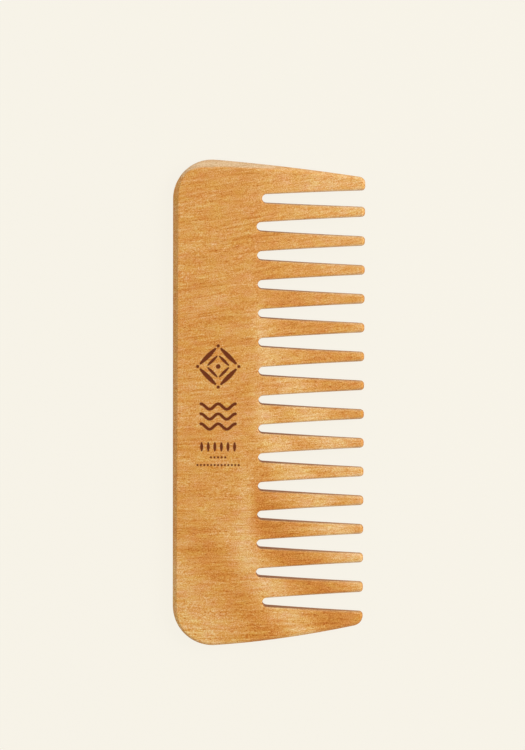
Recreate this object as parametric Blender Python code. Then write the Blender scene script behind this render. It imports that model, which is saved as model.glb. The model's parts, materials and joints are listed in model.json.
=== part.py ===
"""A wide-tooth hair comb, cut from one flat board of hardwood.

The comb is a single piece of timber, so it is one object. It lies on its back face: +X runs
from the spine to the tooth tips, +Y along the comb, and +Z out of its front face. The origin
is the middle of its footprint, on the surface that it lies on.

The rounding of its edges grows from almost nothing in the slots' narrow roots to the full
round of the rim, which a Bevel can't do along a smooth outline. So the board is lofted from
rings of the outline instead, each set in and raised a little more than the last. The board
is then creased beside the slot roots, and thinned to a wedge from there to the tooth tips.
"""

import math

import bmesh
import bpy
from mathutils import Vector

MM = 0.001

# The board and its rim
LENGTH = 170.0 * MM
WIDTH = 67.0 * MM
THICKNESS = 8.0 * MM

# The wedge over the toothed half
BODY_WIDTH = 28.5 * MM
TIP_THICKNESS = 3.4 * MM

# The two end edges. Each runs round a large corner from the spine, falls away towards the
# tips, steepening as it goes, and ends in a small corner. Slopes are in degrees. The edge is
# rounded over to edge_round just past the large corner.
TOP_END = {
    "corner_radius": 13.6 * MM,
    "slope": 4.8,
    "tip_slope": 8.5,
    "tip_radius": 2.3 * MM,
    "edge_round": 2.7 * MM,
}
BOTTOM_END = {
    "corner_radius": 14.0 * MM,
    "slope": 4.0,
    "tip_slope": 11.9,
    "tip_radius": 3.7 * MM,
    "edge_round": 1.0 * MM,
}

# The slots, which open out from a round root to the mouth, on slightly bowed flanks. The two
# end ones are shorter and sit a little towards -Y, and the first is narrower at its mouth.
SLOT_COUNT = 15
SLOT_PITCH = 10.1 * MM
SLOT_SHIFT = 1.2 * MM
SLOT_START = 28.9 * MM
SLOT_BOW = 1.0 * MM
FIRST_SLOT_SHORTER = 2.1 * MM
LAST_SLOT_SHORTER = 2.5 * MM
END_SLOT_SHIFT = -0.35 * MM
ROOT_HALF_WIDTH = 1.57 * MM
MOUTH_HALF_WIDTH = 3.4 * MM
FIRST_MOUTH_HALF_WIDTH = 2.85 * MM
FLANK_BULGE = 0.2
TIP_CORNER_RADIUS = 1.3 * MM

# How much nearer to the spine the tips' line is at the comb's -Y end
TIP_LINE_LEAN = 0.35 * MM

# The radius that the other edges are rounded to
SPINE_ROUND = 1.95 * MM
ROOT_ROUND = 0.5 * MM
TIP_ROUND = 1.05 * MM
ROUND_STEPS = 3

# How finely curves are cut into flats
LARGE_ARC_STEP = math.radians(9)
SMALL_ARC_STEP = math.radians(26)
END_EDGE_STEPS = 5
FLANK_STEPS = 3
WELD = 0.00001

SPINE_X = -WIDTH / 2
TIP_X = WIDTH / 2
CREASE_X = SPINE_X + BODY_WIDTH


def wedge_share(x):
    """How far x lies down the wedge, from 0 at the crease to 1 at the tips."""
    return max(0.0, (x - CREASE_X) / (TIP_X - CREASE_X))


def arc(centre, radius, start, end, step=SMALL_ARC_STEP):
    """Points from angle start to angle end, both included, on a circle in the plane."""
    steps = math.ceil(abs(end - start) / step)
    angles = [start + (end - start) * i / steps for i in range(steps + 1)]
    return [(centre[0] + radius * math.cos(a), centre[1] + radius * math.sin(a)) for a in angles]


def end_rounding(x, corner_radius, edge_round):
    """An end edge's rounding, eased from the spine's round its corner, then to the tips'."""
    corner_share = min(1.0, (x - SPINE_X) / corner_radius)
    eased = corner_share**2 * (3 - 2 * corner_share)
    corner_x = SPINE_X + corner_radius
    end_share = max(0.0, (x - corner_x) / (TIP_X - corner_x))
    past_corner = edge_round + (TIP_ROUND - edge_round) * math.sqrt(end_share)
    return SPINE_ROUND + (past_corner - SPINE_ROUND) * eased


def end_edge(corner_radius, slope, tip_slope, tip_radius, edge_round):
    """The rim from the spine round the end at +Y to the tips, as points with their rounding."""
    slope = math.radians(slope)
    tip_slope = math.radians(tip_slope)
    corner = (SPINE_X + corner_radius, LENGTH / 2 - corner_radius)
    points = arc(corner, corner_radius, math.pi, math.pi / 2, LARGE_ARC_STEP)
    points += arc(corner, corner_radius, math.pi / 2, math.pi / 2 - slope)[1:]
    start_x, start_y = points[-1]
    steepening = (math.tan(tip_slope) - math.tan(slope)) / (2 * (TIP_X - start_x))

    def height(x):
        run = x - start_x
        return start_y - math.tan(slope) * run - steepening * run**2

    tip_centre_x = TIP_X - tip_radius
    stop_x = tip_centre_x + tip_radius * math.sin(tip_slope)
    for i in range(1, END_EDGE_STEPS):
        x = start_x + (stop_x - start_x) * i / END_EDGE_STEPS
        points.append((x, height(x)))
    tip_centre_y = height(stop_x) - tip_radius * math.cos(tip_slope)
    points += arc((tip_centre_x, tip_centre_y), tip_radius, math.pi / 2 - tip_slope, 0)
    return [(x, y, end_rounding(x, corner_radius, edge_round)) for x, y in points]


def slot_half_width(share, mouth_half_width):
    """Half of a slot's width, at a share of the way from its root to its mouth."""
    opened = (1 + FLANK_BULGE) * share - FLANK_BULGE * share**2
    return ROOT_HALF_WIDTH + (mouth_half_width - ROOT_HALF_WIDTH) * opened


def slot_edge(index):
    """The outline round one slot, from tooth tip to tooth tip, as points with their rounding."""
    middle = (SLOT_COUNT - 1) / 2
    from_middle = (index - middle) / middle
    centre_y = SLOT_SHIFT - (index - middle) * SLOT_PITCH
    root_x = SPINE_X + SLOT_START + SLOT_BOW * math.cos(math.pi / 2 * from_middle)
    shorter = {0: FIRST_SLOT_SHORTER, SLOT_COUNT - 1: LAST_SLOT_SHORTER}
    if index in shorter:
        root_x += shorter[index]
        centre_y += END_SLOT_SHIFT
    mouth_half_width = FIRST_MOUTH_HALF_WIDTH if index == 0 else MOUTH_HALF_WIDTH
    flank_from = root_x + ROOT_HALF_WIDTH
    flank_to = TIP_X - TIP_CORNER_RADIUS
    tip_corner = (flank_to, mouth_half_width + TIP_CORNER_RADIUS)
    side = arc(tip_corner, TIP_CORNER_RADIUS, 0, -math.pi / 2)
    for i in range(1, FLANK_STEPS + 1):
        share = 1 - i / FLANK_STEPS
        x = flank_from + (flank_to - flank_from) * share
        side.append((x, slot_half_width(share, mouth_half_width)))
    root = arc((flank_from, 0), ROOT_HALF_WIDTH, math.pi / 2, 3 * math.pi / 2)
    other_side = [(x, -y) for x, y in reversed(side)]
    growth = TIP_ROUND - ROOT_ROUND
    points = side + root[1:-1] + other_side
    return [(x, centre_y + y, ROOT_ROUND + growth * wedge_share(x)) for x, y in points]


def leaned(x, y):
    """Where a point comes to lie in x once the line of the tips leans."""
    return x - TIP_LINE_LEAN * (0.5 - y / LENGTH) * wedge_share(x)


def comb_outline():
    """The whole outline, clockwise from the spine: one end, the slots in turn, the other end."""
    top = end_edge(**TOP_END)
    bottom = [(x, -y, rounding) for x, y, rounding in reversed(end_edge(**BOTTOM_END))]
    slots = [point for index in range(SLOT_COUNT) for point in slot_edge(index)]
    return [(leaned(x, y), y, rounding) for x, y, rounding in top + slots + bottom]


def into_the_wood(outline):
    """For each point of a clockwise outline, the step that sets both edges beside it in by 1."""
    corners = [Vector(point[:2]) for point in outline]
    steps = []
    for i, corner in enumerate(corners):
        before = (corner - corners[i - 1]).normalized()
        after = (corners[(i + 1) % len(corners)] - corner).normalized()
        along = before + after
        steps.append(Vector((along.y, -along.x)) * 2 / along.length_squared)
    return steps


def wedge_scale(x):
    """The board's thickness at x, as a share of its full thickness."""
    return 1 + (TIP_THICKNESS / THICKNESS - 1) * wedge_share(x)


def loft(board, outline):
    """Fills the mesh with a flat board of this outline, its edges rounded, centred on z = 0.

    The edges' height is stretched where the board will be thinned, so they end up round.
    """
    steps = into_the_wood(outline)
    rings = []
    for face in (1, -1):
        for i in range(ROUND_STEPS + 1):
            turn = math.pi / 2 * (ROUND_STEPS - i if face > 0 else i) / ROUND_STEPS
            ring = []
            for (x, y, rounding), step in zip(outline, steps):
                inset = rounding * (1 - math.cos(turn))
                drop = rounding * (1 - math.sin(turn)) / wedge_scale(x)
                place = (x + step.x * inset, y + step.y * inset, face * (THICKNESS / 2 - drop))
                ring.append(board.verts.new(place))
            rings.append(ring)
    for upper, lower in zip(rings, rings[1:]):
        for i in range(len(outline)):
            board.faces.new((upper[i - 1], upper[i], lower[i], lower[i - 1]))
    board.faces.new(rings[0])
    board.faces.new(rings[-1])


def thin_the_teeth(board):
    """Creases the board beside the slot roots, and brings its faces together towards the tips."""
    everything = board.verts[:] + board.edges[:] + board.faces[:]
    crease = {"plane_co": (CREASE_X, 0, 0), "plane_no": (1, 0, 0), "dist": WELD}
    bmesh.ops.bisect_plane(board, geom=everything, **crease)
    for vertex in board.verts:
        vertex.co.z *= wedge_scale(vertex.co.x)


def comb_mesh():
    board = bmesh.new()
    loft(board, comb_outline())
    thin_the_teeth(board)
    bmesh.ops.recalc_face_normals(board, faces=board.faces)
    mesh = bpy.data.meshes.new("comb")
    board.to_mesh(mesh)
    board.free()
    return mesh


def wood():
    material = bpy.data.materials.new("comb_wood")
    material.use_nodes = True
    surface = material.node_tree.nodes["Principled BSDF"]
    surface.inputs["Base Color"].default_value = (0.68, 0.34, 0.10, 1)
    surface.inputs["Roughness"].default_value = 0.45
    surface.inputs["Metallic"].default_value = 0.0
    return material


def main():
    for old in list(bpy.data.objects):
        bpy.data.objects.remove(old)
    parts = bpy.data.collections.new("wide_tooth_comb")
    bpy.context.scene.collection.children.link(parts)
    comb = bpy.data.objects.new("comb", comb_mesh())
    parts.objects.link(comb)
    comb.location.z = THICKNESS / 2
    comb.data.materials.append(wood())
    comb.data.shade_smooth()
    comb.data.set_sharp_from_angle(angle=math.radians(40))


main()
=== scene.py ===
"""A wide-tooth hair comb of oiled hardwood, lying on a pale studio floor.

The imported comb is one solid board. This script stands a finer board in its place, on the
same box and the same slots: rounded edges, a soft crease where the wedge of the teeth
begins, ornament burnt into the front face, and timber whose grain runs right through it.
Lengths are in millimetres until a mesh is made.
"""

import json
import logging
import math
from dataclasses import dataclass, field
from enum import Enum
from typing import NamedTuple, Sequence

import bmesh
import bpy
import numpy as np
from mathutils import Matrix, Vector
from mathutils.geometry import delaunay_2d_cdt


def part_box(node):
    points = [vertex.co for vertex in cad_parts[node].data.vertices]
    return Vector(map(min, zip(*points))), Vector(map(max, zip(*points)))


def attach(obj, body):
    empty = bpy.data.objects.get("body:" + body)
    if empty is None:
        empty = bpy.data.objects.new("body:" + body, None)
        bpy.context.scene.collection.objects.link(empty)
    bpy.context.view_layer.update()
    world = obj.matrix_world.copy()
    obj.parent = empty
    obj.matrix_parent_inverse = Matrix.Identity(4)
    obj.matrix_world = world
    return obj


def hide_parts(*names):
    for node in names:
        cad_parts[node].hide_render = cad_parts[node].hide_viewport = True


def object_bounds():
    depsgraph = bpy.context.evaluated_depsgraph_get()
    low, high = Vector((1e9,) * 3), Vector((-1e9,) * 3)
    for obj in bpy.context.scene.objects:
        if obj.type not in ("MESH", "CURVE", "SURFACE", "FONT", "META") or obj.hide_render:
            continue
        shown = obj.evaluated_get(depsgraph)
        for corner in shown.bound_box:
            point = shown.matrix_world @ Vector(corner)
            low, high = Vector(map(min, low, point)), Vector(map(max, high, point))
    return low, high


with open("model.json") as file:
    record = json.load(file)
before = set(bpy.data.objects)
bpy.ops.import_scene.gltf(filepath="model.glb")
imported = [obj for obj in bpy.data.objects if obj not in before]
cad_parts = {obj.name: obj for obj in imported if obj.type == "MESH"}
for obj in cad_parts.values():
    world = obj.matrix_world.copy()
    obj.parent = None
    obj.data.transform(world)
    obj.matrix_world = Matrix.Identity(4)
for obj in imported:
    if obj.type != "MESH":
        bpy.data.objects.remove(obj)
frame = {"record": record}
CAD_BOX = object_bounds()

MM = 0.001
log = logging.getLogger("comb")

Triple = tuple[float, float, float]
Colour = tuple[float, float, float]
Point = tuple[float, float]
Socket = bpy.types.NodeSocket


def paint(red: int, green: int, blue: int) -> Colour:
    """A colour chosen on screen, from 0 to 255, as the linear light that shaders use."""
    shares = [channel / 255 for channel in (red, green, blue)]
    return tuple(s / 12.92 if s <= 0.04045 else ((s + 0.055) / 1.055) ** 2.4 for s in shares)


def arc(centre: Point, radius: float, start: float, end: float, step: float) -> list[Point]:
    """Points round part of a circle.

    Args:
        centre: The circle's centre.
        radius: Its radius.
        start: The angle of the first point, in radians.
        end: The angle of the last point, in radians.
        step: The largest angle between neighbouring points, in radians.

    Returns:
        The points, with both ends included.
    """
    count = max(1, math.ceil(abs(end - start) / step))
    angles = [start + (end - start) * i / count for i in range(count + 1)]
    return [(centre[0] + radius * math.cos(a), centre[1] + radius * math.sin(a)) for a in angles]


def smooth(share: float) -> float:
    """A share from 0 to 1, eased at both ends."""
    inside = min(1.0, max(0.0, share))
    return inside * inside * (3 - 2 * inside)


def in_scene(name: str, data: bpy.types.ID) -> bpy.types.Object:
    """Puts a new object in the scene.

    Args:
        name: Its name.
        data: Its mesh, lamp or camera.

    Returns:
        The object.
    """
    made = bpy.data.objects.new(name, data)
    bpy.context.scene.collection.objects.link(made)
    return made


class Face(Enum):
    """The comb's two broad faces, by the way that each looks."""

    FRONT = 1
    BACK = -1


class RimPoint(NamedTuple):
    """A point of the comb's outline, and how its edges are finished there.

    The rounding is a radius. The others run from 0 to 1: how flat the rounding is, how much
    painted sheen pales the edge, and how much painted shade darkens the wall.
    """

    x: float
    y: float
    rounding: float
    flat: float
    edge_sheen: float
    wall_shade: float


@dataclass(frozen=True)
class Board:
    """The board that the comb is cut from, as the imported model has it.

    The faces are flat over the back, and come together over the teeth in a wedge. They turn
    from one to the other over a soft crease.
    """

    spine_x: float
    tip_x: float
    bottom_y: float
    top_y: float
    thickness: float
    crease_from_spine: float = 28.5
    crease_softness: float = 2.2
    tip_thickness: float = 3.4
    tip_line_lean: float = 0.35

    @classmethod
    def from_frame(cls) -> "Board":
        """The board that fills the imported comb's box."""
        low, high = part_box("comb")
        return cls(low.x / MM, high.x / MM, low.y / MM, high.y / MM, (high.z - low.z) / MM)

    @property
    def crease_x(self) -> float:
        """Where the wedge begins."""
        return self.spine_x + self.crease_from_spine

    def down_the_wedge(self, x: float) -> float:
        """How far x lies down the wedge, from 0 at the crease to 1 at the tips."""
        return max(0.0, (x - self.crease_x) / (self.tip_x - self.crease_x))

    def leaned(self, x: float, y: float) -> float:
        """Where x comes to lie, as the tips' line nears the spine towards -Y."""
        down_the_comb = (self.top_y - y) / (self.top_y - self.bottom_y)
        return x - self.tip_line_lean * down_the_comb * self.down_the_wedge(x)

    def half_thickness(self, x: float) -> float:
        """Half the board's thickness.

        Args:
            x: The place, along the teeth.

        Returns:
            Half the thickness there, eased through the crease.
        """
        slope = (self.thickness - self.tip_thickness) / 2 / (self.tip_x - self.crease_x)
        past = x - self.crease_x
        soft = self.crease_softness
        if past <= -soft:
            drop = 0.0
        elif past >= soft:
            drop = slope * past
        else:
            drop = slope * (past + soft) ** 2 / (4 * soft)
        return self.thickness / 2 - drop


@dataclass(frozen=True)
class EndEdge:
    """One end of the board: it runs round a large corner, then falls ever steeper to the tips.

    Slopes are in degrees. The edge is rounded over to spine_round on the spine, corner_round
    halfway round the large corner, edge_round just past it and tip_round at the tips.
    Painted sheen pales its edge by edge_sheen, most of which is gone by sheen_to, a share of
    the way from the large corner to the tips. Painted shade darkens its wall by wall_shade,
    which is reached by wall_shade_from, a share of the large corner.
    """

    corner_radius: float
    slope: float
    tip_slope: float
    tip_radius: float
    edge_round: float
    spine_round: float
    corner_round: float
    # The next two fields: painted sheen on the edge, then painted shade on its wall.
    edge_sheen: float
    wall_shade: float
    tip_round: float = 1.05
    sheen_to: float = 0.55
    tip_sheen: float = 0.12
    wall_shade_from: float = 1 / 3
    flat: float = 0.85
    steps: int = 16
    corner_step: float = math.radians(4)
    tip_step: float = math.radians(10)

    def points(self, board: Board) -> list[RimPoint]:
        """The rim from the spine, round the end at +Y, to the line of the tips.

        Args:
            board: The board that is being cut.

        Returns:
            The rim's points in order.
        """
        slope = math.radians(self.slope)
        tip_slope = math.radians(self.tip_slope)
        radius = self.corner_radius
        corner = (board.spine_x + radius, board.top_y - radius)
        line = arc(corner, radius, math.pi, math.pi / 2, self.corner_step)
        line += arc(corner, radius, math.pi / 2, math.pi / 2 - slope, self.corner_step)[1:]
        start_x, start_y = line[-1]
        steepening = (math.tan(tip_slope) - math.tan(slope)) / (2 * (board.tip_x - start_x))

        def height(x: float) -> float:
            """The end edge's height at x."""
            run = x - start_x
            return start_y - math.tan(slope) * run - steepening * run**2

        tip_centre_x = board.tip_x - self.tip_radius
        stop_x = tip_centre_x + self.tip_radius * math.sin(tip_slope)
        for i in range(1, self.steps):
            x = start_x + (stop_x - start_x) * i / self.steps
            line.append((x, height(x)))
        tip_centre = (tip_centre_x, height(stop_x) - self.tip_radius * math.cos(tip_slope))
        tip = arc(tip_centre, self.tip_radius, math.pi / 2 - tip_slope, 0, self.tip_step)
        made = []
        for x, y in line + tip:
            # Painted shade on the end's wall, then painted sheen on its edge.
            wall_shade = self.wall_shade * smooth((x - board.spine_x) / (radius * self.wall_shade_from))
            down_end = (x - corner[0]) / (board.tip_x - corner[0])
            edge_sheen = self.edge_sheen * (1 - (1 - self.tip_sheen) * smooth(down_end / self.sheen_to))
            made.append(RimPoint(x, y, self.rounding(x, board), self.flat, edge_sheen, wall_shade))
        return made

    def rounding(self, x: float, board: Board) -> float:
        """How far the edge is rounded over.

        Args:
            x: The place, along the teeth.
            board: The board that is being cut.

        Returns:
            The rounding's radius there.
        """
        corner_x = board.spine_x + self.corner_radius
        if x > corner_x:
            down_end = (x - corner_x) / (board.tip_x - corner_x)
            return self.edge_round + (self.tip_round - self.edge_round) * math.sqrt(down_end)
        turned = math.acos(min(1.0, (corner_x - x) / self.corner_radius)) / (math.pi / 2)
        if turned < 0.5:
            return self.spine_round + (self.corner_round - self.spine_round) * smooth(2 * turned)
        return self.corner_round + (self.edge_round - self.corner_round) * smooth(2 * turned - 1)


@dataclass(frozen=True)
class Slots:
    """The slots between the teeth: a round root, bowed flanks, and a mouth between round tips.

    The two end slots are shorter than the rest, and the first is narrower at its mouth.
    """

    centres: tuple[float, ...]
    start_from_spine: float = 28.9
    bow: float = 1.0
    first_shorter: float = 2.1
    last_shorter: float = 2.5
    root_half_width: float = 1.57
    mouth_half_width: float = 3.4
    first_mouth_half_width: float = 2.85
    flank_bulge: float = 0.2
    tip_corner_radius: float = 1.3
    root_round: float = 0.5
    tip_round: float = 1.05
    tip_flat: float = 0.85
    # Painted shade on the slot walls, down to this share at the tooth tips; then painted sheen on the
    # flanks' edges.
    tip_wall_shade: float = 0.7
    edge_sheen: float = 0.25
    flank_steps: int = 12
    arc_step: float = math.radians(12)

    @classmethod
    def from_frame(cls) -> "Slots":
        """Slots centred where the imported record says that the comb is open.

        Returns:
            The slots.
        """
        openings = frame["record"]["physics"]["openings"]
        whole = [o["box_m"] for o in openings if not o["name"].endswith("_mouth")]
        return cls(tuple((low[1] + high[1]) / 2 / MM for low, high in whole))

    def half_width(self, share: float, mouth: float) -> float:
        """Half of a slot's width, at a share of the way from its root to its mouth."""
        opened = (1 + self.flank_bulge) * share - self.flank_bulge * share**2
        return self.root_half_width + (mouth - self.root_half_width) * opened

    def edge(self, index: int, board: Board) -> list[RimPoint]:
        """The outline round one slot, from the tooth tip at its +Y side to the next one.

        Args:
            index: Which slot, from 0 at +Y.
            board: The board that is being cut.

        Returns:
            The outline's points in order.
        """
        last = len(self.centres) - 1
        middle = last / 2
        mouth = self.first_mouth_half_width if index == 0 else self.mouth_half_width
        bow = self.bow * math.cos(math.pi / 2 * (index - middle) / middle)
        shorter = {0: self.first_shorter, last: self.last_shorter}.get(index, 0.0)
        root_x = board.spine_x + self.start_from_spine + bow + shorter
        flank_from = root_x + self.root_half_width
        flank_to = board.tip_x - self.tip_corner_radius
        corner = (flank_to, mouth + self.tip_corner_radius)
        side = arc(corner, self.tip_corner_radius, 0, -math.pi / 2, self.arc_step)
        for i in range(1, self.flank_steps + 1):
            share = 1 - i / self.flank_steps
            x = flank_from + (flank_to - flank_from) * share
            side.append((x, self.half_width(share, mouth)))
        half_turn = (math.pi / 2, 3 * math.pi / 2)
        root = arc((flank_from, 0), self.root_half_width, *half_turn, self.arc_step)
        other_side = [(x, -y) for x, y in reversed(side)]
        growth = self.tip_round - self.root_round
        made = []
        for x, y in side + root[1:-1] + other_side:
            rounding = self.root_round + growth * board.down_the_wedge(x)
            inside = min(1.0, max(0.0, (flank_to - x) / self.tip_corner_radius))
            flat = self.tip_flat * (1 - inside)
            # Painted shade on the slot's wall: full inside the slot, less at the tooth tips.
            wall_shade = max(inside, self.tip_wall_shade)
            made.append(RimPoint(x, self.centres[index] + y, rounding, flat, self.edge_sheen, wall_shade))
        return made


@dataclass(frozen=True)
class Stroke:
    """One stroke of the burning tool: a line that it follows, and half its width at each point."""

    line: tuple[Point, ...]
    half_widths: tuple[float, ...]
    cap_step: float = math.radians(30)

    @classmethod
    def dot(cls, centre: Point, radius: float) -> "Stroke":
        """A round dot."""
        return cls((centre,), (radius,))

    @classmethod
    def petal(cls, start: Point, end: Point, thick: float, thin: float) -> "Stroke":
        """A straight stroke that swells towards its middle.

        Args:
            start: Where it starts.
            end: Where it ends.
            thick: Half its width in the middle.
            thin: Half its width at the ends.

        Returns:
            The stroke.
        """
        shares = (0.0, 0.25, 0.5, 0.75, 1.0)
        swell = thick - thin
        widths = tuple(thin + swell * math.sin(math.pi * share) for share in shares)
        run = (end[0] - start[0], end[1] - start[1])
        line = tuple((start[0] + run[0] * share, start[1] + run[1] * share) for share in shares)
        return cls(line, widths)

    def outline(self, grow: float) -> list[Point]:
        """The stroke's closed outline.

        Args:
            grow: How much further out than its own edge the outline runs.

        Returns:
            The outline's points, counter-clockwise.
        """
        line = [Vector(point) for point in self.line]
        if len(line) == 1:
            radius = self.half_widths[0] + grow
            return arc(self.line[0], radius, 0, 2 * math.pi, self.cap_step)[:-1]
        right, left = [], []
        for i, here in enumerate(line):
            along = line[min(i + 1, len(line) - 1)] - line[max(i - 1, 0)]
            along.normalize()
            side = Vector((along.y, -along.x)) * (self.half_widths[i] + grow)
            right.append(tuple(here + side))
            left.append(tuple(here - side))
        quarter = math.pi / 2
        far = self.cap(-1, line[-1] - line[-2], (-quarter, quarter), grow)
        near = self.cap(0, line[1] - line[0], (quarter, 3 * quarter), grow)
        return right + far + left[::-1] + near

    def cap(self, end: int, run: Vector, turns: Point, grow: float) -> list[Point]:
        """The round cap on one end of the stroke.

        Args:
            end: The index of the line's point at that end.
            run: The way that the line runs there.
            turns: Where the cap starts and stops, in radians from that way.
            grow: How much further out than the stroke's own edge the cap runs.

        Returns:
            The cap's points between its two ends.
        """
        heading = math.atan2(run.y, run.x)
        sides = (heading + turns[0], heading + turns[1])
        radius = self.half_widths[end] + grow
        return arc(self.line[end], radius, *sides, self.cap_step)[1:-1]


class Lozenge(NamedTuple):
    """A lozenge of four petals, which stop short of its corners by a share of its sides."""

    half_size: float
    thick: float
    thin: float
    corner_gap: float
    corner_dot: float


@dataclass(frozen=True)
class LozengeOrnament:
    """Two nested lozenges of petal strokes, with dots at the outer corners and in the middle."""

    centre: Point
    middle_dot: float = 0.75
    lozenges: tuple[Lozenge, ...] = (
        Lozenge(7.2, 0.74, 0.32, 0.15, 0.5),
        Lozenge(4.032, 0.44, 0.2, 0.12, 0.0),
    )

    def strokes(self) -> list[Stroke]:
        """The strokes that make the ornament.

        Returns:
            The strokes.
        """
        made = [Stroke.dot(self.centre, self.middle_dot)]
        for lozenge in self.lozenges:
            size, gap = lozenge.half_size, lozenge.corner_gap
            x, y = self.centre
            corners = [(x + size, y), (x, y + size), (x - size, y), (x, y - size)]
            for i, corner in enumerate(corners):
                following = corners[(i + 1) % len(corners)]
                start = self.between(corner, following, gap)
                end = self.between(corner, following, 1 - gap)
                made.append(Stroke.petal(start, end, lozenge.thick, lozenge.thin))
                if lozenge.corner_dot:
                    made.append(Stroke.dot(corner, lozenge.corner_dot))
        return made

    @staticmethod
    def between(start: Point, end: Point, share: float) -> Point:
        """The point at a share of the way from start to end."""
        return (start[0] + (end[0] - start[0]) * share, start[1] + (end[1] - start[1]) * share)


class DotRow(NamedTuple):
    """A row of dots, and how far it lies below the petals."""

    below: float
    count: int
    spacing: float
    radius: float


@dataclass(frozen=True)
class WaveOrnament:
    """Wavy lines, with a row of upright petals and two rows of dots below them."""

    top_centre: Point
    wave_count: int = 3
    wave_spacing: float = 3.5
    wave_length: float = 6.0
    wave_height: float = 0.95
    half_line: float = 0.45
    line_half_length: float = 6.0
    line_steps: int = 24
    petals_below: float = 3.6
    petal_count: int = 6
    petal_spacing: float = 2.3
    petal_half_height: float = 1.35
    petal_thick: float = 0.48
    petal_thin: float = 0.2
    dot_rows: tuple[DotRow, ...] = (DotRow(3.7, 5, 1.25, 0.3), DotRow(6.4, 13, 1.2, 0.3))

    def strokes(self) -> list[Stroke]:
        """The strokes that make the ornament.

        Returns:
            The strokes.
        """
        x, y = self.top_centre
        made = [self.wave(y - self.wave_spacing * i) for i in range(self.wave_count)]
        row = y - self.wave_spacing * self.wave_count - self.petals_below
        reach = self.petal_spacing * (self.petal_count - 1) / 2
        for i in range(self.petal_count):
            middle = x - reach + self.petal_spacing * i
            low = (middle, row - self.petal_half_height)
            high = (middle, row + self.petal_half_height)
            made.append(Stroke.petal(low, high, self.petal_thick, self.petal_thin))
        for dots in self.dot_rows:
            first = x - dots.spacing * (dots.count - 1) / 2
            for i in range(dots.count):
                centre = (first + dots.spacing * i, row - dots.below)
                made.append(Stroke.dot(centre, dots.radius))
        return made

    def wave(self, y: float) -> Stroke:
        """One wavy line.

        Args:
            y: The line's height.

        Returns:
            The line, as a stroke.
        """
        reach = self.line_half_length
        points = []
        for i in range(self.line_steps + 1):
            across = -reach + 2 * reach * i / self.line_steps
            rise = self.wave_height * math.cos(2 * math.pi * across / self.wave_length)
            points.append((self.top_centre[0] + across, y + rise))
        return Stroke(tuple(points), (self.half_line,) * len(points))


class Depth(NamedTuple):
    """One of the loops that a burnt stroke is let into the face with."""

    grow: float
    sunk: float
    scorch: float


@dataclass(frozen=True)
class Burning:
    """How the tool marks the wood: brown to its edge, then down a short slope to a black floor."""

    loops: tuple[Depth, ...] = (
        Depth(0.22, 0.0, 0.0),
        Depth(0.03, 0.0, 0.75),
        Depth(-0.09, 0.13, 1.0),
    )


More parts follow.
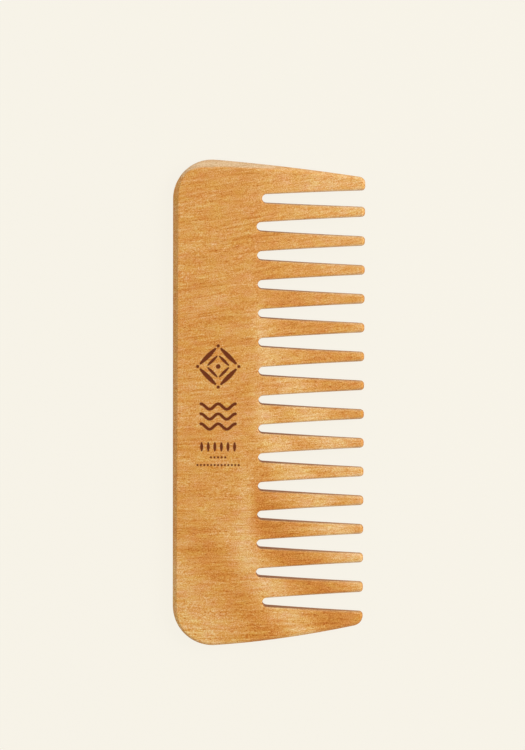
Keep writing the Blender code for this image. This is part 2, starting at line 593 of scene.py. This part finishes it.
@dataclass
class CombMesh:
    """Builds the comb's surface: rings of its outline round every edge, and a face each side.

    A face is filled on a grid, whose points stay clear of its edge, the crease and the burnt
    marks. Painted shade on the walls fades out over wall_turn of the front edge's rounding,
    and over the whole of the back edge's. Painted sheen shows on edges that look along the comb.
    """

    board: Board
    slots: Slots
    ends: tuple[EndEdge, EndEdge]
    strokes: Sequence[Stroke]
    burning: Burning = field(default_factory=Burning)
    round_steps: int = 6
    wall_steps: int = 3
    wall_turn: float = math.radians(35)
    grid: float = 2.6
    crease_lines: int = 5
    clear_of_crease: float = 3.38
    clear_of_edge: float = 1.0
    clear_of_mark: float = 0.6
    clear_of_loop: float = 0.5
    sharp_from: float = math.radians(32)
    places: list[Triple] = field(default_factory=list)
    faces: list[tuple[int, ...]] = field(default_factory=list)
    scorch: list[float] = field(default_factory=list)
    # Per vertex: painted sheen on the edges.
    painted_edge_sheen: list[float] = field(default_factory=list)
    # Per vertex: painted shade on the walls.
    painted_wall_shade: list[float] = field(default_factory=list)

    def outline(self) -> list[RimPoint]:
        """The whole outline of the comb.

        Returns:
            Its points, clockwise from the spine.
        """
        top = self.ends[0].points(self.board)
        mirrored = reversed(self.ends[1].points(self.board))
        bottom = [p._replace(y=-p.y) for p in mirrored]
        cuts = [p for i in range(len(self.slots.centres)) for p in self.slots.edge(i, self.board)]
        whole = top + cuts + bottom
        return [p._replace(x=self.board.leaned(p.x, p.y)) for p in whole]

    @staticmethod
    def into_the_wood(rim: Sequence[RimPoint]) -> list[Vector]:
        """For each point, the step that sets both edges beside it in by 1.

        Args:
            rim: The outline, clockwise.

        Returns:
            One step a point.
        """
        corners = [Vector((p.x, p.y)) for p in rim]
        steps = []
        for i, corner in enumerate(corners):
            before = (corner - corners[i - 1]).normalized()
            after = (corners[(i + 1) % len(corners)] - corner).normalized()
            along = before + after
            steps.append(Vector((along.y, -along.x)) * 2 / along.length_squared)
        return steps

    def add(self, place: Point, z: float, scorch: float, edge_sheen: float, wall: float) -> int:
        """Adds a vertex.

        Args:
            place: Where it is in the board's plane.
            z: Its height above the board's middle.
            scorch: How burnt it is, from 0 to 1.
            edge_sheen: How much painted sheen pales it, from 0 to 1.
            wall: How much painted shade darkens it, from 0 to 1.

        Returns:
            The vertex's index.
        """
        self.places.append((place[0] * MM, place[1] * MM, (z + self.board.thickness / 2) * MM))
        self.scorch.append(scorch)
        self.painted_edge_sheen.append(edge_sheen)
        self.painted_wall_shade.append(wall)
        return len(self.places) - 1

    def rings(self, rim: Sequence[RimPoint]) -> list[list[int]]:
        """The vertices round every edge.

        Args:
            rim: The outline.

        Returns:
            Rings of vertex indices, from the front face's edge to the back's.
        """
        steps = self.into_the_wood(rim)
        turns = [(Face.FRONT, i / self.round_steps) for i in range(self.round_steps, -1, -1)]
        turns += [(None, 1 - 2 * i / self.wall_steps) for i in range(1, self.wall_steps)]
        turns += [(Face.BACK, i / self.round_steps) for i in range(self.round_steps + 1)]
        made = []
        for face, share in turns:
            ring = []
            for point, step in zip(rim, steps):
                turn = math.pi / 2 * share if face else 0.0
                inset = point.rounding * (1 - math.cos(turn))
                inset += point.flat * (point.rounding * share - inset) if face else 0.0
                x, y = point.x + step.x * inset, point.y + step.y * inset
                half = self.board.half_thickness(x)
                if face:
                    drop = point.rounding * (1 - math.sin(turn))
                    drop += point.flat * (point.rounding * (1 - share) - drop)
                    z = face.value * (half - drop)
                else:
                    z = share * (half - point.rounding)
                # Painted shade: on the wall, fading over the front edge's rounding and over all of the
                # back edge's.
                if face is Face.BACK:
                    fading = math.cos(turn)
                else:
                    fading = max(0.0, 1 - turn / self.wall_turn)
                # Painted sheen: pales the edges that face along the comb.
                endwise = abs(step.y) / step.length
                edge_sheen = point.edge_sheen * math.cos(turn) * endwise**3
                wall = point.wall_shade * fading
                ring.append(self.add((x, y), z, 0.0, edge_sheen, wall))
            made.append(ring)
        return made

    def face_points(self, border: np.ndarray, keep_off: np.ndarray) -> list[Point]:
        """A grid of points that keeps a face's triangles even.

        Args:
            border: The face's edge.
            keep_off: Points that the grid stays clear of.

        Returns:
            The grid's points that lie clear of both.
        """
        xs = np.arange(self.board.spine_x + self.grid, self.board.tip_x, self.grid)
        across_crease = np.linspace(-1, 1, self.crease_lines)
        crease = self.board.crease_x + self.board.crease_softness * across_crease
        away = np.abs(xs - self.board.crease_x) > self.clear_of_crease
        xs = np.sort(np.concatenate([xs[away], crease]))
        ys = np.arange(self.board.bottom_y + self.grid / 2, self.board.top_y, self.grid)
        kept = []
        for x in xs:
            for y in ys:
                gaps = ((border, self.clear_of_edge), (keep_off, self.clear_of_loop))
                if all(np.hypot(*(points - (x, y)).T).min(initial=gap) >= gap for points, gap in gaps):
                    kept.append((float(x), float(y)))
        return kept

    def fill(self, ring: Sequence[int], face: Face, strokes: Sequence[Stroke]) -> None:
        """Fills one broad face, with any burnt strokes let into it.

        Args:
            ring: The vertices round the face's edge.
            face: Which face it is.
            strokes: The strokes burnt into it.
        """
        edge = [(self.places[i][0] / MM, self.places[i][1] / MM) for i in ring]
        points = list(edge)
        facts = [(0.0, 0.0)] * len(edge)
        loops = [list(range(len(edge)))]
        for stroke in strokes:
            for depth in self.burning.loops:
                outline = stroke.outline(depth.grow)
                loops.append(list(range(len(points), len(points) + len(outline))))
                points += outline
                facts += [(depth.sunk, depth.scorch)] * len(outline)
        marks = np.array(points[len(edge) :]).reshape(-1, 2)
        inner = [p for p in self.face_points(np.array(edge), marks) if self.clear_of(p, strokes)]
        points += inner
        facts += [(0.0, 0.0)] * len(inner)
        constraints = [(loop[i - 1], loop[i]) for loop in loops for i in range(len(loop))]
        vectors = [Vector(point) for point in points]
        flat, _, triangles, source, _, _ = delaunay_2d_cdt(vectors, constraints, [], 1, 1e-5)
        index = []
        for place, origins in zip(flat, source):
            if origins and origins[0] < len(edge):
                index.append(ring[origins[0]])
                continue
            sunk, scorch = facts[origins[0]] if origins else (0.0, 0.0)
            z = face.value * (self.board.half_thickness(place.x) - sunk)
            index.append(self.add((place.x, place.y), z, scorch, 0.0, 0.0))
        for triangle in triangles:
            self.faces.append(tuple(index[i] for i in triangle[:: face.value]))

    def clear_of(self, point: Point, strokes: Sequence[Stroke]) -> bool:
        """Whether a point lies outside every stroke, with room to spare.

        Args:
            point: The point.
            strokes: The strokes.

        Returns:
            True if it does.
        """
        for stroke in strokes:
            line = np.array(stroke.line)
            reach = max(stroke.half_widths) + self.clear_of_mark
            if len(line) == 1:
                gap = math.dist(point, stroke.line[0])
            else:
                start, run = line[:-1], np.diff(line, axis=0)
                share = ((np.array(point) - start) * run).sum(1) / (run**2).sum(1)
                nearest = start + run * np.clip(share, 0, 1)[:, None]
                gap = np.hypot(*(nearest - point).T).min()
            if gap < reach:
                return False
        return True

    def build(self, name: str) -> bpy.types.Object:
        """Makes the object.

        Args:
            name: The object's name.

        Returns:
            The comb, in the scene.
        """
        rings = self.rings(self.outline())
        for upper, lower in zip(rings, rings[1:]):
            for i in range(len(upper)):
                self.faces.append((upper[i - 1], upper[i], lower[i], lower[i - 1]))
        self.fill(rings[0], Face.FRONT, self.strokes)
        self.fill(rings[-1], Face.BACK, ())
        mesh = bpy.data.meshes.new(name)
        mesh.from_pydata(self.places, [], self.faces)
        # The painted sheen and the painted shade go on the mesh with the scorch.
        for label in ("scorch", "painted_edge_sheen", "painted_wall_shade"):
            layer = mesh.attributes.new(label, "FLOAT", "POINT")
            layer.data.foreach_set("value", getattr(self, label))
        surface = bmesh.new()
        surface.from_mesh(mesh)
        bmesh.ops.recalc_face_normals(surface, faces=surface.faces)
        surface.to_mesh(mesh)
        surface.free()
        mesh.shade_smooth()
        mesh.set_sharp_from_angle(angle=self.sharp_from)
        comb = in_scene(name, mesh)
        even = comb.modifiers.new("even_shading", "WEIGHTED_NORMAL")
        even.keep_sharp = True
        return comb


class Pattern(NamedTuple):
    """Soft noise: how many of its grains fit in a millimetre along each axis, and its detail."""

    scale: Triple
    detail: float


class NodeDesk:
    """Lays out and joins the nodes of one shader."""

    def __init__(self, tree: bpy.types.NodeTree) -> None:
        """Starts from an empty tree."""
        self.tree = tree
        tree.nodes.clear()

    def add(self, kind: str, **settings: object) -> bpy.types.Node:
        """Adds a node.

        Args:
            kind: The node's type.
            **settings: Properties to set on it.

        Returns:
            The node.
        """
        node = self.tree.nodes.new(kind)
        for name, value in settings.items():
            setattr(node, name, value)
        return node

    def feed(self, target: Socket, value: object) -> None:
        """Joins a socket to another one, or sets it to a value.

        Args:
            target: The socket to feed.
            value: The other socket, or the value.
        """
        if isinstance(value, Socket):
            self.tree.links.new(value, target)
        else:
            target.default_value = value

    def maths(self, operation: str, *values: object, kind: str = "ShaderNodeMath") -> Socket:
        """The result of a sum.

        Args:
            operation: The kind of sum.
            *values: What it works on, in order: numbers, vectors or sockets.
            kind: The node that works it out.

        Returns:
            The result's socket.
        """
        node = self.add(kind, operation=operation)
        for socket, value in zip(node.inputs, values):
            self.feed(socket, value)
        return node.outputs[0]

    def vectors(self, operation: str, *values: object) -> Socket:
        """The result of a sum on vectors."""
        return self.maths(operation, *values, kind="ShaderNodeVectorMath")

    def split(self, vector: Socket) -> tuple[Socket, Socket, Socket]:
        """A vector's parts along X, Y and Z.

        Args:
            vector: The vector.

        Returns:
            The sockets of its three parts.
        """
        node = self.add("ShaderNodeSeparateXYZ")
        self.feed(node.inputs[0], vector)
        return tuple(node.outputs)

    def stretched(self, place: Socket, scale: Triple) -> Socket:
        """Coordinates scaled along each axis.

        Args:
            place: The coordinates.
            scale: The scale along each axis.

        Returns:
            The new coordinates.
        """
        node = self.add("ShaderNodeMapping")
        self.feed(node.inputs["Vector"], place)
        node.inputs["Scale"].default_value = scale
        return node.outputs[0]

    def noise(self, place: Socket, pattern: Pattern) -> Socket:
        """Soft noise from 0 to 1.

        Args:
            place: The coordinates.
            pattern: The noise's size and detail.

        Returns:
            The noise.
        """
        place = self.stretched(place, pattern.scale)
        node = self.add("ShaderNodeTexNoise")
        self.feed(node.inputs["Vector"], place)
        node.inputs["Scale"].default_value = 1.0
        node.inputs["Detail"].default_value = pattern.detail
        node.inputs["Roughness"].default_value = 0.5
        return node.outputs[0]

    def blend(self, share: object, first: object, second: object) -> Socket:
        """A mix of two colours.

        Args:
            share: How much of the second colour.
            first: The first colour.
            second: The second colour.

        Returns:
            The mixed colour.
        """
        node = self.add("ShaderNodeMix", data_type="RGBA")
        self.feed(node.inputs["Factor"], share)
        self.feed(node.inputs["A"], first)
        self.feed(node.inputs["B"], second)
        return node.outputs["Result"]

    def ramp(self, share: object, stops: Sequence[tuple[float, Colour]]) -> Socket:
        """A colour picked from a row of colours.

        Args:
            share: Where along the row, from 0 to 1.
            stops: Each colour and its place along the row.

        Returns:
            The colour.
        """
        node = self.add("ShaderNodeValToRGB")
        elements = node.color_ramp.elements
        while len(elements) < len(stops):
            elements.new(0.5)
        for element, (place, colour) in zip(elements, stops):
            element.position = place
            element.color = (*colour, 1.0)
        self.feed(node.inputs[0], share)
        return node.outputs["Color"]

    def between(self, value: object, low: float, high: float) -> Socket:
        """A value mapped smoothly so that low gives 0 and high gives 1.

        Args:
            value: The value.
            low: What gives 0.
            high: What gives 1.

        Returns:
            The mapped value.
        """
        node = self.add("ShaderNodeMapRange", interpolation_type="SMOOTHSTEP")
        self.feed(node.inputs["Value"], value)
        node.inputs["From Min"].default_value = low
        node.inputs["From Max"].default_value = high
        return node.outputs["Result"]

    def attribute(self, name: str) -> Socket:
        """A value painted on the mesh."""
        return self.add("ShaderNodeAttribute", attribute_name=name).outputs["Fac"]

    def end(self, kind: str, surface: bpy.types.Node) -> None:
        """Joins the last shader to an output node of this kind."""
        self.feed(self.add(kind).inputs["Surface"], surface.outputs[0])


class Cloud(NamedTuple):
    """A soft patch where the timber is paler, or darker if its strength is negative."""

    x: float
    y: float
    half_width: float
    half_height: float
    strength: float


class Layer(NamedTuple):
    """One layer of the timber's pattern: the size of its grains, and how strongly it shows."""

    long: float
    wide: float
    detail: float
    strength: float


@dataclass(frozen=True)
class OiledWood:
    """Golden hardwood with its grain along the teeth, oiled to a satin sheen.

    Its layers are measured along and across the grain. Its figure is a row of slanting bands,
    each given by its place and by what it adds to the tone. A pair of numbers gives what
    something fades in from, and what brings it to its full strength.
    """

    colours: tuple[Colour, ...] = (
        paint(175, 96, 15),
        paint(198, 124, 44),
        paint(213, 149, 70),
        paint(224, 174, 108),
        paint(238, 204, 150),
    )
    # Painted shade colour for the walls.
    wall: Colour = paint(174, 107, 34)
    # Pale colours for painted sheen on the edges.
    sheen_tint: tuple[Colour, Colour] = (paint(184, 152, 108), paint(229, 205, 172))
    burnt: Colour = paint(94, 36, 0)
    char: Colour = paint(118, 50, 2)
    mottle: Pattern = Pattern((2.5, 2.5, 2.5), 2)
    # How strongly the painted shade shows on the walls.
    wall_share: float = 0.95
    # How strongly the painted sheen shows on the edges.
    sheen_share: float = 0.78
    sheen_fade: Point = (0.0, 0.36)
    sheen_tones: Point = (0.1, 0.9)
    specular: float = 0.25
    roughness: float = 0.32
    gloss: Pattern = Pattern((0.1, 0.8, 0.8), 3)
    gloss_roughness: float = 0.24
    pore_roughness: float = 0.12
    wall_roughness: float = 0.16
    scorch_roughness: float = 0.25
    relief_strength: float = 0.35
    relief_depth: float = 0.05
    fibres: Pattern = Pattern((0.5, 6.0, 6.0), 2)
    waves: Pattern = Pattern((0.12, 0.12, 0.12), 1)
    wave_height: float = 2.0
    pore_height: float = -0.8
    saw_marks: Pattern = Pattern((0.1, 0.1, 4.0), 1)
    saw_height: float = 1.5
    middle_tone: float = 0.545
    pore_scale: Triple = (0.55, 1.9, 1.9)
    pore_fade: Point = (0.34, 0.12)
    pore_choice: Point = (0.25, 0.9)
    pore_tone: float = -0.45
    rings: Pattern = Pattern((0.012, 0.5, 0.5), 1)
    ring_fade: Point = (0.05, 0.0)
    ring_presence: Pattern = Pattern((0.03, 0.08, 0.08), 1)
    ring_choice: Point = (0.4, 0.65)
    ring_tone: float = -0.16
    layers: tuple[Layer, ...] = (
        Layer(60.0, 5.0, 3, 0.24),
        Layer(16.0, 0.9, 3, 0.52),
        Layer(4.2, 0.33, 1, 0.58),
        Layer(0.38, 0.32, 0, 0.95),
    )
    tint: Pattern = Pattern((0.22, 0.4, 0.4), 3)
    tint_strength: Triple = (0.0, 0.32, 0.66)
    lean_low: float = 0.01
    lean_high: float = 0.16
    lean_fade: Point = (-35.0, 45.0)
    wander: Pattern = Pattern((0.025, 0.05, 0.05), 2)
    wander_across: float = 5.0
    wander_through: float = 2.0
    figure_slant: Point = (0.82, 0.57)
    figure_ripple: Pattern = Pattern((0.06, 0.06, 0.06), 2)
    ripple_width: float = 5.0
    figure_teeth_fade: Point = (-8.0, -2.0)
    figure_end_fade: Point = (-36.0, -50.0)
    figure_reach: float = 75.0
    figure_bands: tuple[Point, ...] = (
        (-60.0, 0.14),
        (-46.5, -0.13),
        (-36.0, 0.19),
        (-24.0, -0.27),
        (-5.5, 0.22),
        (1.5, 0.02),
        (10.5, 0.20),
        (22.0, -0.10),
        (38.0, 0.0),
        (60.0, 0.15),
    )
    cloud_fade: Point = (1.3, 0.0)
    cloud_half_depth: float = 30.0
    clouds: tuple[Cloud, ...] = (
        Cloud(-8.0, -37.0, 4.0, 18.0, 0.24),
        Cloud(-26.0, -30.5, 9.0, 2.6, -0.12),
        Cloud(-10.0, 29.0, 8.0, 2.0, -0.10),
        Cloud(-24.0, 42.0, 5.0, 5.0, -0.08),
        Cloud(-14.0, -49.0, 10.0, 5.0, -0.08),
        Cloud(-4.0, 28.0, 5.0, 6.0, 0.10),
        # A pale band along the top end's edge: a painted highlight.
        Cloud(-10.0, 85.0, 26.0, 3.4, 0.14),
    )

    def material(self) -> bpy.types.Material:
        """The finish, as a material.

        Returns:
            The material.
        """
        made = bpy.data.materials.new("oiled_wood")
        made.use_nodes = True
        Timber(self, NodeDesk(made.node_tree)).lay_out()
        return made


class Timber:
    """The nodes that draw oiled wood, all in one shader."""

    def __init__(self, finish: OiledWood, desk: NodeDesk) -> None:
        """Lays out what the rest of the shader works from.

        Args:
            finish: The finish to draw.
            desk: The shader's nodes.
        """
        self.finish = finish
        self.desk = desk
        coordinates = desk.add("ShaderNodeTexCoord").outputs["Object"]
        self.place = desk.stretched(coordinates, (1 / MM, 1 / MM, 1 / MM))
        self.grain = self.along_the_grain()
        self.pores = self.open_pores()
        # Painted shade on the walls.
        self.wall = desk.attribute("painted_wall_shade")
        self.scorch = desk.attribute("scorch")

    def lay_out(self) -> None:
        """Joins the wood's colour, sheen and fine surface to the shader's output."""
        desk, finish = self.desk, self.finish
        shader = desk.add("ShaderNodeBsdfPrincipled")
        shader.inputs["Specular IOR Level"].default_value = finish.specular
        desk.feed(shader.inputs["Base Color"], self.colour(self.tone()))
        rough = finish.roughness
        for cause, strength in (
            (desk.noise(self.grain, finish.gloss), finish.gloss_roughness),
            (self.pores, finish.pore_roughness),
            (self.wall, finish.wall_roughness),
            (self.scorch, finish.scorch_roughness),
        ):
            rough = desk.maths("MULTIPLY_ADD", cause, strength, rough)
        desk.feed(shader.inputs["Roughness"], rough)
        desk.feed(shader.inputs["Normal"], self.relief())
        desk.end("ShaderNodeOutputMaterial", shader)

    def along_the_grain(self) -> Socket:
        """Coordinates that follow the grain, which leans more towards the comb's +Y end.

        Returns:
            The coordinates, with their X along the grain.
        """
        desk, finish = self.desk, self.finish
        x, y, z = desk.split(self.place)
        high = desk.between(y, *finish.lean_fade)
        lean = desk.maths("MULTIPLY_ADD", high, finish.lean_high - finish.lean_low, finish.lean_low)
        climb = desk.maths("MULTIPLY", lean, x)
        wander = desk.noise(self.place, finish.wander)
        climb = desk.maths("MULTIPLY_ADD", wander, finish.wander_across, climb)
        joined = desk.add("ShaderNodeCombineXYZ")
        desk.feed(joined.inputs["X"], x)
        desk.feed(joined.inputs["Y"], desk.maths("SUBTRACT", y, climb))
        through = desk.maths("MULTIPLY_ADD", wander, finish.wander_through, z)
        desk.feed(joined.inputs["Z"], through)
        return joined.outputs[0]

    def open_pores(self) -> Socket:
        """Short open pores along the grain.

        Returns:
            How much of a pore this is, from 0 to 1.
        """
        desk, finish = self.desk, self.finish
        cells = desk.add("ShaderNodeTexVoronoi")
        desk.feed(cells.inputs["Vector"], desk.stretched(self.grain, finish.pore_scale))
        cells.inputs["Scale"].default_value = 1.0
        inside = desk.between(cells.outputs["Distance"], *finish.pore_fade)
        chosen = desk.add("ShaderNodeSeparateColor")
        desk.feed(chosen.inputs[0], cells.outputs["Color"])
        depth = desk.between(chosen.outputs[0], *finish.pore_choice)
        return desk.maths("MULTIPLY", inside, depth)

    def tone(self) -> Socket:
        """How pale the timber is: its rings, its layers, its figure and its soft patches.

        Returns:
            The tone, from 0 to 1.
        """
        desk, finish = self.desk, self.finish
        total = desk.maths("MULTIPLY_ADD", self.pores, finish.pore_tone, finish.middle_tone)
        rings = desk.noise(self.grain, finish.rings)
        from_line = desk.maths("ABSOLUTE", desk.maths("SUBTRACT", rings, 0.5))
        presence = desk.noise(self.grain, finish.ring_presence)
        drawn = desk.between(presence, *finish.ring_choice)
        line = desk.maths("MULTIPLY", desk.between(from_line, *finish.ring_fade), drawn)
        total = desk.maths("MULTIPLY_ADD", line, finish.ring_tone, total)
        for layer in finish.layers:
            scale = (1 / layer.long, 1 / layer.wide, 1 / layer.wide)
            pattern = desk.noise(self.grain, Pattern(scale, layer.detail))
            centred = desk.maths("SUBTRACT", pattern, 0.5)
            total = desk.maths("MULTIPLY_ADD", centred, layer.strength, total)
        total = desk.maths("ADD", total, self.figure())
        for cloud in finish.clouds:
            total = desk.maths("ADD", total, self.cloud(cloud))
        return total

    def figure(self) -> Socket:
        """The slanting bands of light and dark that cross the teeth and the comb's -Y end.

        Returns:
            What the bands add to the tone.
        """
        desk, finish = self.desk, self.finish
        x, y, _ = desk.split(self.place)
        ripple = desk.maths("SUBTRACT", desk.noise(self.place, finish.figure_ripple), 0.5)
        slant = desk.maths("MULTIPLY", x, finish.figure_slant[0])
        slant = desk.maths("MULTIPLY_ADD", y, finish.figure_slant[1], slant)
        slant = desk.maths("MULTIPLY_ADD", ripple, finish.ripple_width, slant)
        span = 2 * finish.figure_reach
        along = desk.maths("MULTIPLY_ADD", slant, 1 / span, 0.5)
        stops = [(at / span + 0.5, (0.5 + tone,) * 3) for at, tone in finish.figure_bands]
        bands = desk.ramp(along, stops)
        bands.node.color_ramp.interpolation = "CARDINAL"
        over_teeth = desk.between(x, *finish.figure_teeth_fade)
        low_end = desk.between(y, *finish.figure_end_fade)
        shown = desk.maths("MAXIMUM", over_teeth, low_end)
        return desk.maths("MULTIPLY", desk.maths("SUBTRACT", bands, 0.5), shown)

    def cloud(self, cloud: Cloud) -> Socket:
        """One soft patch.

        Args:
            cloud: The patch.

        Returns:
            What it adds to the tone.
        """
        desk, finish = self.desk, self.finish
        node = desk.add("ShaderNodeMapping", vector_type="TEXTURE")
        desk.feed(node.inputs["Vector"], self.place)
        node.inputs["Location"].default_value = (cloud.x, cloud.y, 0)
        size = (cloud.half_width, cloud.half_height, finish.cloud_half_depth)
        node.inputs["Scale"].default_value = size
        reach = desk.add("ShaderNodeVectorMath", operation="LENGTH")
        desk.feed(reach.inputs[0], node.outputs[0])
        inside = desk.between(reach.outputs["Value"], *finish.cloud_fade)
        return desk.maths("MULTIPLY", inside, cloud.strength)

    def colour(self, tone: Socket) -> Socket:
        """The wood's colour, paled by painted sheen on edges, darkened by painted shade on walls, and
        dark where burnt.

        Args:
            tone: How pale the timber is.

        Returns:
            The colour.
        """
        desk, finish = self.desk, self.finish
        last = len(finish.colours) - 1
        wood = desk.ramp(tone, [(i / last, colour) for i, colour in enumerate(finish.colours)])
        wood = self.tinted(wood)
        # Painted sheen: a paler colour on the edges.
        rim = desk.between(desk.attribute("painted_edge_sheen"), *finish.sheen_fade)
        sheen_tint = desk.ramp(tone, list(zip(finish.sheen_tones, finish.sheen_tint)))
        wood = desk.blend(desk.maths("MULTIPLY", rim, finish.sheen_share), wood, sheen_tint)
        # Painted shade: a darker colour on the walls.
        wall_shade = desk.maths("MULTIPLY", self.wall, finish.wall_share)
        wood = desk.blend(wall_shade, wood, (*finish.wall, 1))
        mottle = desk.noise(self.place, finish.mottle)
        char = desk.blend(mottle, (*finish.burnt, 1), (*finish.char, 1))
        return desk.blend(self.scorch, wood, char)

    def tinted(self, wood: Socket) -> Socket:
        """The wood's colour, drifting between a yellower and a rosier gold.

        Args:
            wood: The wood's colour.

        Returns:
            The drifting colour.
        """
        desk, finish = self.desk, self.finish
        drift = desk.noise(self.place, finish.tint).node.outputs["Color"]
        centred = desk.vectors("SUBTRACT", drift, (0.5, 0.5, 0.5))
        scaled = desk.vectors("MULTIPLY_ADD", centred, finish.tint_strength, (1.0, 1.0, 1.0))
        return desk.vectors("MULTIPLY", wood, scaled)

    def relief(self) -> Socket:
        """The fine surface: fibres and pores along the grain, and saw marks on the sawn walls.

        Returns:
            The shading normal.
        """
        desk, finish = self.desk, self.finish
        height = desk.noise(self.grain, finish.fibres)
        saw = desk.maths("MULTIPLY", self.wall, desk.noise(self.place, finish.saw_marks))
        for cause, rise in (
            (desk.noise(self.place, finish.waves), finish.wave_height),
            (self.pores, finish.pore_height),
            (saw, finish.saw_height),
        ):
            height = desk.maths("MULTIPLY_ADD", cause, rise, height)
        bump = desk.add("ShaderNodeBump")
        bump.inputs["Strength"].default_value = finish.relief_strength
        bump.inputs["Distance"].default_value = finish.relief_depth * MM
        desk.feed(bump.inputs["Height"], height)
        return bump.outputs[0]


class Softbox(NamedTuple):
    """One soft lamp: where it stands, how large it is, and its power in watts."""

    name: str
    place: Triple
    width: float
    height: float
    power: float


@dataclass(frozen=True)
class Studio:
    """A pale floor, soft light from beyond the comb's +Y end, and a camera high above it."""

    backdrop: Colour = paint(247, 243, 232)
    floor_radius: float = 6.0
    floor_sides: int = 96
    glow_share: float = 0.96
    room_light: float = 0.46
    wall_top: Point = (0.3, 0.15)
    lamps: tuple[Softbox, ...] = (
        Softbox("key_light", (0.95, 0.3, 1.25), 0.9, 0.9, 19.0),
        Softbox("edge_light", (-0.35, 1.4, 0.4), 1.1, 0.6, 3.1),
    )
    distance: float = 1.5
    view_height: float = 262.5
    lean: float = math.radians(4.2)
    side_lean: float = math.radians(-0.26)
    roll: float = math.radians(0.125)
    off_centre: Point = (2.17, -9.75)

    def build(self, middle: Vector) -> None:
        """Sets up the whole studio.

        Args:
            middle: The middle of the comb.
        """
        bpy.context.scene.view_settings.view_transform = "Standard"
        self.floor()
        self.room()
        for lamp in self.lamps:
            self.softbox(lamp)
        self.camera(middle)

    def floor(self) -> bpy.types.Object:
        """The floor, which glows a little so that shadows on it stay faint.

        Returns:
            The floor.
        """
        surface = bmesh.new()
        sides, radius = self.floor_sides, self.floor_radius
        bmesh.ops.create_circle(surface, cap_ends=True, segments=sides, radius=radius)
        mesh = bpy.data.meshes.new("studio_floor")
        surface.to_mesh(mesh)
        surface.free()
        floor = in_scene("studio_floor", mesh)
        paper = bpy.data.materials.new("pale_paper")
        paper.use_nodes = True
        desk = NodeDesk(paper.node_tree)
        glow = desk.add("ShaderNodeEmission")
        glow.inputs["Color"].default_value = (*self.backdrop, 1)
        matt = desk.add("ShaderNodeBsdfDiffuse")
        matt.inputs["Color"].default_value = (*self.backdrop, 1)
        mix = desk.add("ShaderNodeMixShader")
        mix.inputs[0].default_value = self.glow_share
        desk.feed(mix.inputs[1], matt.outputs[0])
        desk.feed(mix.inputs[2], glow.outputs[0])
        desk.end("ShaderNodeOutputMaterial", mix)
        mesh.materials.append(paper)
        return floor

    def room(self) -> None:
        """The pale room: walls as bright as the floor, under a dimmer ceiling."""
        world = bpy.data.worlds.new("pale_room")
        world.use_nodes = True
        desk = NodeDesk(world.node_tree)
        _, _, height = desk.split(desk.add("ShaderNodeTexCoord").outputs["Generated"])
        wall = desk.between(height, *self.wall_top)
        strength = desk.maths("MULTIPLY_ADD", wall, 1 - self.room_light, self.room_light)
        background = desk.add("ShaderNodeBackground")
        background.inputs["Color"].default_value = (*self.backdrop, 1)
        desk.feed(background.inputs["Strength"], strength)
        desk.end("ShaderNodeOutputWorld", background)
        bpy.context.scene.world = world

    @staticmethod
    def softbox(box: Softbox) -> None:
        """A rectangular soft lamp that faces the comb.

        Args:
            box: The lamp's place, size and power.
        """
        lamp = bpy.data.lights.new(box.name, "AREA")
        lamp.shape = "RECTANGLE"
        lamp.size = box.width
        lamp.size_y = box.height
        lamp.energy = box.power
        light = in_scene(box.name, lamp)
        light.location = box.place
        light.rotation_euler = Vector(box.place).to_track_quat("Z", "Y").to_euler()

    def camera(self, middle: Vector) -> bpy.types.Object:
        """The camera, nearly straight above the comb.

        Args:
            middle: The middle of the comb.

        Returns:
            The camera.
        """
        lens = bpy.data.cameras.new("camera")
        lens.lens = lens.sensor_width * self.distance / (self.view_height * MM)
        camera = in_scene("camera", lens)
        back = Vector((math.sin(self.side_lean), math.sin(self.lean), math.cos(self.lean)))
        back.normalize()
        up = (Vector((0, 1, 0)) - back * back.y).normalized()
        right = up.cross(back)
        turn = Matrix((right, up, back)).transposed() @ Matrix.Rotation(self.roll, 3, "Z")
        right, up, back = turn.col
        aside = right * self.off_centre[0] + up * self.off_centre[1]
        place = middle + back * self.distance - aside * MM
        camera.matrix_world = Matrix.Translation(place) @ turn.to_4x4()
        bpy.context.scene.camera = camera
        return camera


@dataclass(frozen=True)
class Comb:
    """The comb, with its timber and its burnt ornament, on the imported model's sizes.

    The ornament is placed by shares: across the back, and along the comb's upper half.
    """

    board: Board = field(default_factory=Board.from_frame)
    slots: Slots = field(default_factory=Slots.from_frame)
    wood: OiledWood = OiledWood()
    ornament_across: float = 0.555
    lozenge_along: float = 0.153
    waves_along: float = -0.012
    top_end: EndEdge = EndEdge(
        corner_radius=13.6,
        slope=4.8,
        tip_slope=8.5,
        tip_radius=2.3,
        edge_round=3.0,
        spine_round=1.95,
        corner_round=1.2,
        # Painted sheen on this end's edge, then painted shade on its wall.
        edge_sheen=1.0,
        wall_shade=0.3,
    )
    bottom_end: EndEdge = EndEdge(
        corner_radius=14.0,
        slope=4.0,
        tip_slope=11.9,
        tip_radius=3.7,
        edge_round=0.8,
        spine_round=1.4,
        corner_round=0.8,
        # Painted sheen on this end's edge, then painted shade on its wall.
        edge_sheen=0.1,
        wall_shade=0.8,
    )

    def strokes(self) -> list[Stroke]:
        """Every stroke burnt into the front face, in the middle of the comb's back.

        Returns:
            The strokes.
        """
        across = self.board.spine_x + self.board.crease_from_spine * self.ornament_across
        lozenge = LozengeOrnament((across, self.lozenge_along * self.board.top_y))
        waves = WaveOrnament((across, self.waves_along * self.board.top_y))
        return lozenge.strokes() + waves.strokes()

    def build(self) -> bpy.types.Object:
        """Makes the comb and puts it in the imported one's place.

        Returns:
            The comb.
        """
        ends = (self.top_end, self.bottom_end)
        comb = CombMesh(self.board, self.slots, ends, self.strokes()).build("wooden_comb")
        comb.data.materials.append(self.wood.material())
        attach(comb, "root")
        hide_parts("comb")
        log.info("%s: %d faces", comb.name, len(comb.data.polygons))
        return comb


def main() -> None:
    """Builds the comb, then the studio round it."""
    logging.basicConfig(level=logging.INFO, format="%(message)s")
    Comb().build()
    low, high = CAD_BOX
    Studio().build((low + high) / 2)


if __name__ == "__main__":
    main()
